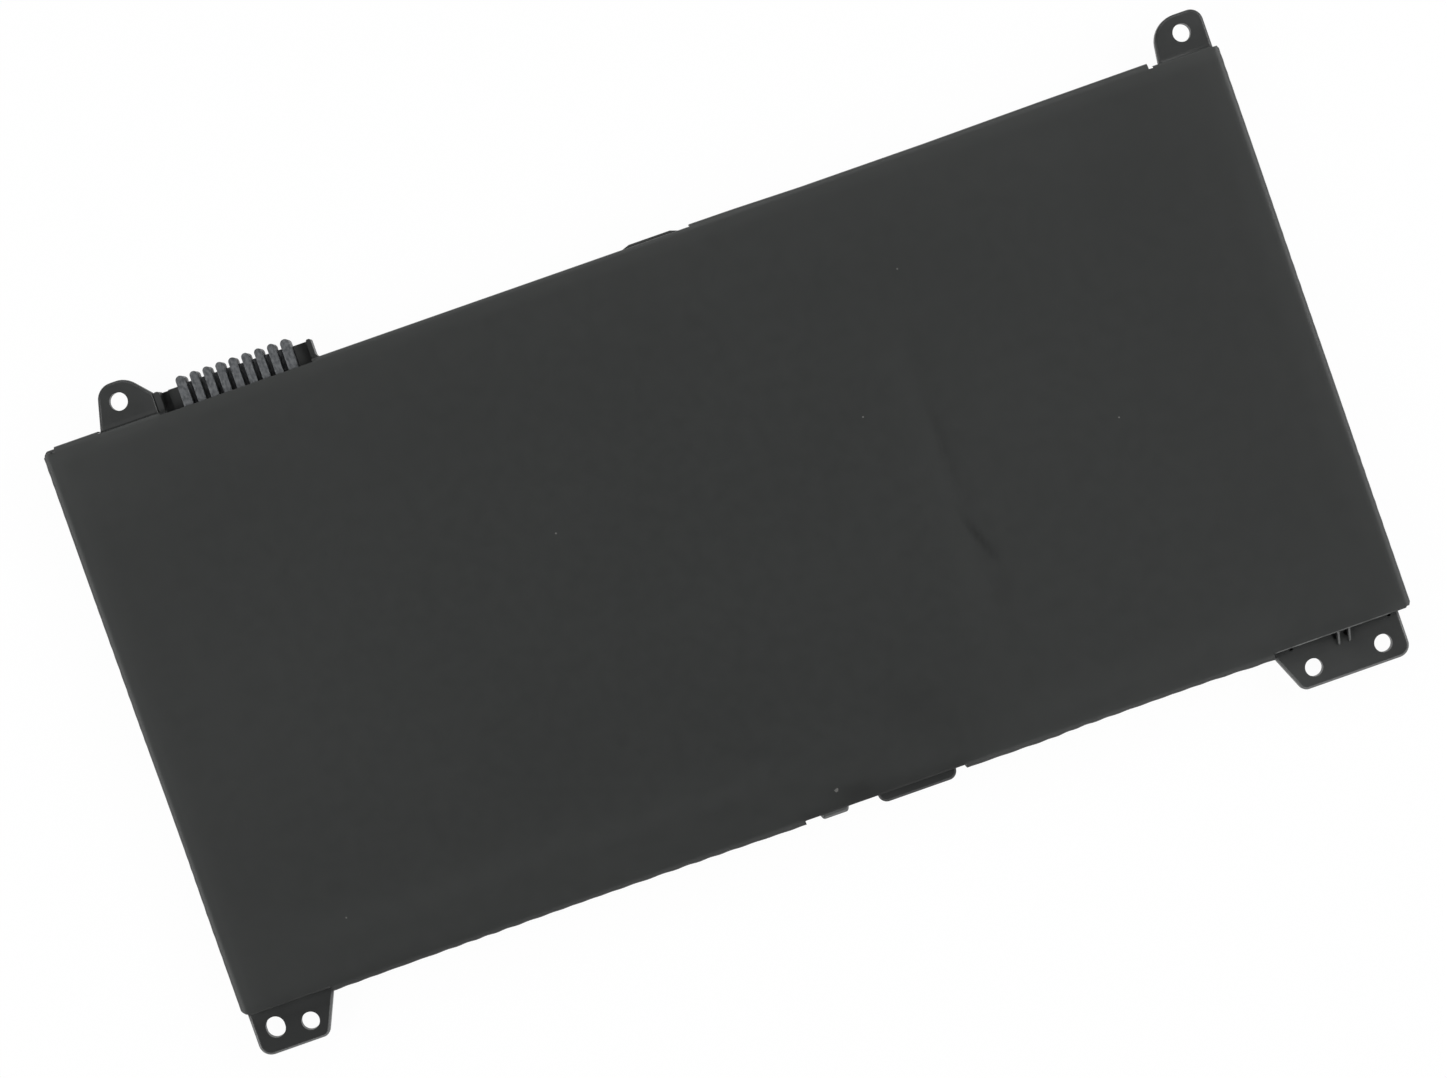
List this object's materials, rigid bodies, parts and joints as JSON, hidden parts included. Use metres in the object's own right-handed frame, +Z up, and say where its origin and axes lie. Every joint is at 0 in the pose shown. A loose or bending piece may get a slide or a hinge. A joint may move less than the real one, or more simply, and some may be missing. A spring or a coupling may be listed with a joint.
{
  "type": "laptop battery",
  "caption": "Flat internal laptop battery: pouch cells in a black moulded frame with screw ears, closed by films, with a slotted blade receptacle on one long edge.",
  "frame": {"origin": "middle of the underside, at the centre of the box around the ears", "axes": "+X along the long edge, +Y towards the receptacle, +Z up to the plain film face"},
  "size_m": [0.2284, 0.1266, 0.0072],
  "materials": {
    "frame_plastic": "fine moulded texture, black",
    "film": "satin black polyester film",
    "housing_plastic": "grey glass-filled nylon",
    "contact_metal": "gold flash over copper alloy",
    "pouch_foil": "aluminium laminate",
    "tab_aluminium": "rolled",
    "tab_nickel": "nickel plated",
    "tab_seal": "translucent sealing film",
    "board": "green solder mask",
    "chip_black": "moulded epoxy",
    "chip_ceramic": "fired ceramic",
    "adhesive": "double-sided tape",
    "foam": "closed-cell foam"
  },
  "bodies": {
    "root": {"back_film": "film", "base_film": "film", "cell_left": "pouch_foil", "cell_middle": "pouch_foil", "cell_right": "pouch_foil", "cell_tape_left": "adhesive", "cell_tape_middle": "adhesive", "cell_tape_right": "adhesive", "charge_transistor": "chip_black", "chemical_fuse": "chip_ceramic", "chip_capacitors": "chip_ceramic", "chip_resistors": "chip_black", "circuit_board": "board", "connector_housing": "housing_plastic", "contact_1": "contact_metal", "contact_2": "contact_metal", "contact_3": "contact_metal", "contact_4": "contact_metal", "contact_5": "contact_metal", "contact_6": "contact_metal", "contact_7": "contact_metal", "contact_8": "contact_metal", "discharge_transistor": "chip_black", "foam_sheet_left": "foam", "foam_sheet_middle": "foam", "foam_sheet_right": "foam", "frame": "frame_plastic", "gauge_chip": "chip_black", "protector_chip": "chip_black", "sense_resistor": "chip_black", "tab_left_negative": "tab_nickel", "tab_left_positive": "tab_aluminium", "tab_middle_negative": "tab_nickel", "tab_middle_positive": "tab_aluminium", "tab_right_negative": "tab_nickel", "tab_right_positive": "tab_aluminium", "tab_seal_left_negative": "tab_seal", "tab_seal_left_positive": "tab_seal", "tab_seal_middle_negative": "tab_seal", "tab_seal_middle_positive": "tab_seal", "tab_seal_right_negative": "tab_seal", "tab_seal_right_positive": "tab_seal", "thermistor": "chip_ceramic", "weld_plate_left_negative": "tab_nickel", "weld_plate_left_positive": "tab_nickel", "weld_plate_middle_negative": "tab_nickel", "weld_plate_middle_positive": "tab_nickel", "weld_plate_right_negative": "tab_nickel", "weld_plate_right_positive": "tab_nickel"}
  },
  "joints": []
}
